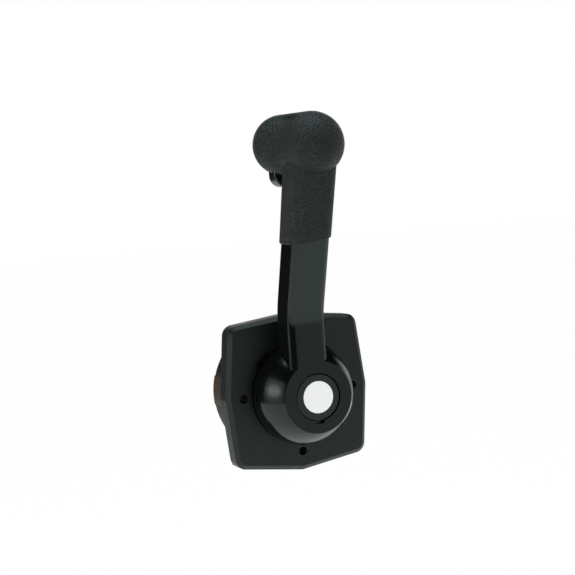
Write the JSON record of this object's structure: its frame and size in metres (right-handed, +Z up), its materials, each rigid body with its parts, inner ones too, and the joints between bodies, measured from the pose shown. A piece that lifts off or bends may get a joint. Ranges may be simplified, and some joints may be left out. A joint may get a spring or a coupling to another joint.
{
  "type": "boat throttle control lever",
  "caption": "Side-mount single-lever marine throttle and shift control: bent lever with knob and lock trigger, domed hub, flat mounting plate and drum mechanism behind.",
  "frame": {"origin": "on the hub axis at the face of the boat's side panel, in the middle of the panel screw circle", "axes": "+Z up along the lever in neutral, front of the control faces -Y, +X to the right of someone who looks at the front (aft on a starboard side)"},
  "size_m": [0.1108, 0.1376, 0.2544],
  "materials": {
    "black_plate": "satin black wrinkle paint",
    "gasket_rubber": "matte",
    "black_housing": "satin black",
    "brown_phenolic": "cloth-filled phenolic, matte",
    "screw_steel": "passivated stainless",
    "brass_insert": "machined",
    "grey_casting": "as cast",
    "zinc_steel": "zinc plated",
    "bronze_bush": "sintered bronze",
    "spring_steel": "drawn wire",
    "switch_plastic": "moulded",
    "lever_paint": "gloss black",
    "black_plastic": "moulded",
    "grip_vinyl": "leather-grained soft vinyl",
    "nylon_white": "moulded",
    "cap_plastic": "satin moulded",
    "emblem_white": "plain gloss white",
    "trigger_plastic": "moulded"
  },
  "bodies": {
    "mount": {"mounting_plate": "black_plate", "panel_gasket": "gasket_rubber", "mechanism_housing": "black_housing", "cable_guard": "brown_phenolic", "rear_cover": "black_housing", "rear_cover_screws": "screw_steel", "threaded_inserts": "brass_insert", "panel_spigot": "grey_casting", "spigot_screws": "screw_steel", "lock_gate": "zinc_steel", "gate_screws": "screw_steel", "front_bush": "bronze_bush", "rear_bush": "bronze_bush", "shaft_seal": "gasket_rubber", "shift_bush": "bronze_bush", "detent_ball": "zinc_steel", "detent_spring": "spring_steel", "detent_plug": "screw_steel", "friction_pad": "brown_phenolic", "friction_screw": "screw_steel", "neutral_switch": "switch_plastic", "switch_screws": "screw_steel"},
    "lever": {"control_lever": "lever_paint", "main_shaft": "zinc_steel", "shaft_key": "zinc_steel", "drive_gear": "zinc_steel", "detent_wheel": "zinc_steel", "throttle_arm": "zinc_steel", "throttle_arm_nut": "screw_steel", "hub_bolt": "screw_steel", "hub_washer": "screw_steel", "button_spring": "spring_steel", "lever_back_cover": "black_plastic", "grip_sleeve": "grip_vinyl", "grip_knob": "grip_vinyl", "knob_pin": "zinc_steel", "pin_guide": "nylon_white"},
    "button": {"hub_button": "cap_plastic", "emblem_disc": "emblem_white"},
    "trigger": {"lock_trigger": "trigger_plastic", "lock_rod": "zinc_steel"},
    "pin": {"lock_pin": "zinc_steel", "pin_clip": "spring_steel", "pin_spring": "spring_steel"},
    "shift": {"shift_gear": "zinc_steel", "shift_shaft": "zinc_steel", "shift_arm": "zinc_steel", "shift_arm_nut": "screw_steel"}
  },
  "joints": [
    {"name": "lever_swing", "type": "hinge", "parent": "mount", "child": "lever", "pos_m": [0, 0, 0], "axis": [0, 1, 0], "range_deg": [-75, 70]},
    {"name": "button_press", "type": "slide", "parent": "lever", "child": "button", "axis": [0, 1, 0], "range_m": [0, 0.003], "stiffness_N_per_m": 800, "springref_m": -0.002},
    {"name": "trigger_squeeze", "type": "slide", "parent": "lever", "child": "trigger", "axis": [0, -0.3223, 0.9466], "range_m": [0, 0.0043], "stiffness_N_per_m": 900, "springref_m": -0.003},
    {"name": "pin_lift", "type": "slide", "parent": "lever", "child": "pin", "axis": [0, 0, 1], "range_m": [0, 0.004], "deforming": ["pin_spring"]},
    {"name": "shift_turn", "type": "hinge", "parent": "mount", "child": "shift", "pos_m": [0.01856, 0, -0.01856], "axis": [0, 1, 0], "range_deg": [-53, 57]}
  ],
  "couplings": [
    {"joint": "pin_lift", "follows": "trigger_squeeze", "ratio": 0.93},
    {"joint": "shift_turn", "follows": "lever_swing", "ratio": -0.75}
  ]
}
